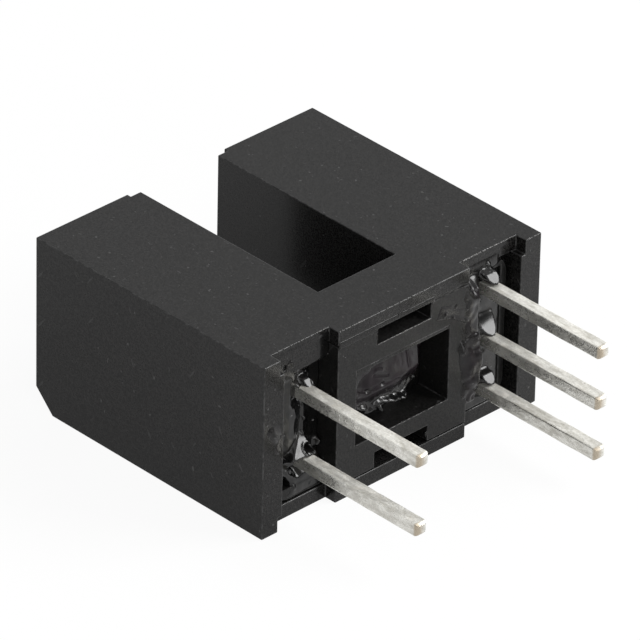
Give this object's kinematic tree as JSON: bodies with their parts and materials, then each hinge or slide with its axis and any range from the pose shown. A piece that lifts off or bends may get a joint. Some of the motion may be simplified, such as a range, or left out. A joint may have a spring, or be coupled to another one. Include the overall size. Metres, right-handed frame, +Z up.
{
  "type": "slotted optical sensor",
  "caption": "Slotted optical sensor: U-shaped black housing with an emitter and a detector facing each other across a slot, and five square leads for a circuit board.",
  "frame": {"origin": "On the surface that the sensor lies on, under the middle of its whole length and width, leads included.", "axes": "+X from the arm tips towards the lead tips, +Y from the emitter arm to the detector arm, +Z up through the body's thickness. The target passes through the slot along Z or X."},
  "size_m": [0.0156, 0.0122, 0.0064],
  "materials": {
    "housing": "fine matte, infrared-transmitting black thermoplastic",
    "holder": "satin opaque black thermoplastic",
    "emitter_resin": "tinted clear epoxy, moulded",
    "detector_resin": "dark infrared-transmitting epoxy, moulded",
    "lead": "tin-plated, bright with dull patches",
    "chip": "polished semiconductor die",
    "bond_wire": "drawn gold wire",
    "potting": "glossy black potting resin"
  },
  "bodies": {
    "root": {"housing": "housing", "aperture_holder": "holder", "emitter_package": "emitter_resin", "detector_package": "detector_resin", "anode_lead": "lead", "cathode_lead": "lead", "supply_lead": "lead", "ground_lead": "lead", "output_lead": "lead", "emitter_chip": "chip", "detector_chip": "chip", "anode_wire": "bond_wire", "supply_wire": "bond_wire", "output_wire": "bond_wire", "emitter_potting": "potting", "detector_potting": "potting", "window_sealant": "potting"}
  },
  "joints": []
}
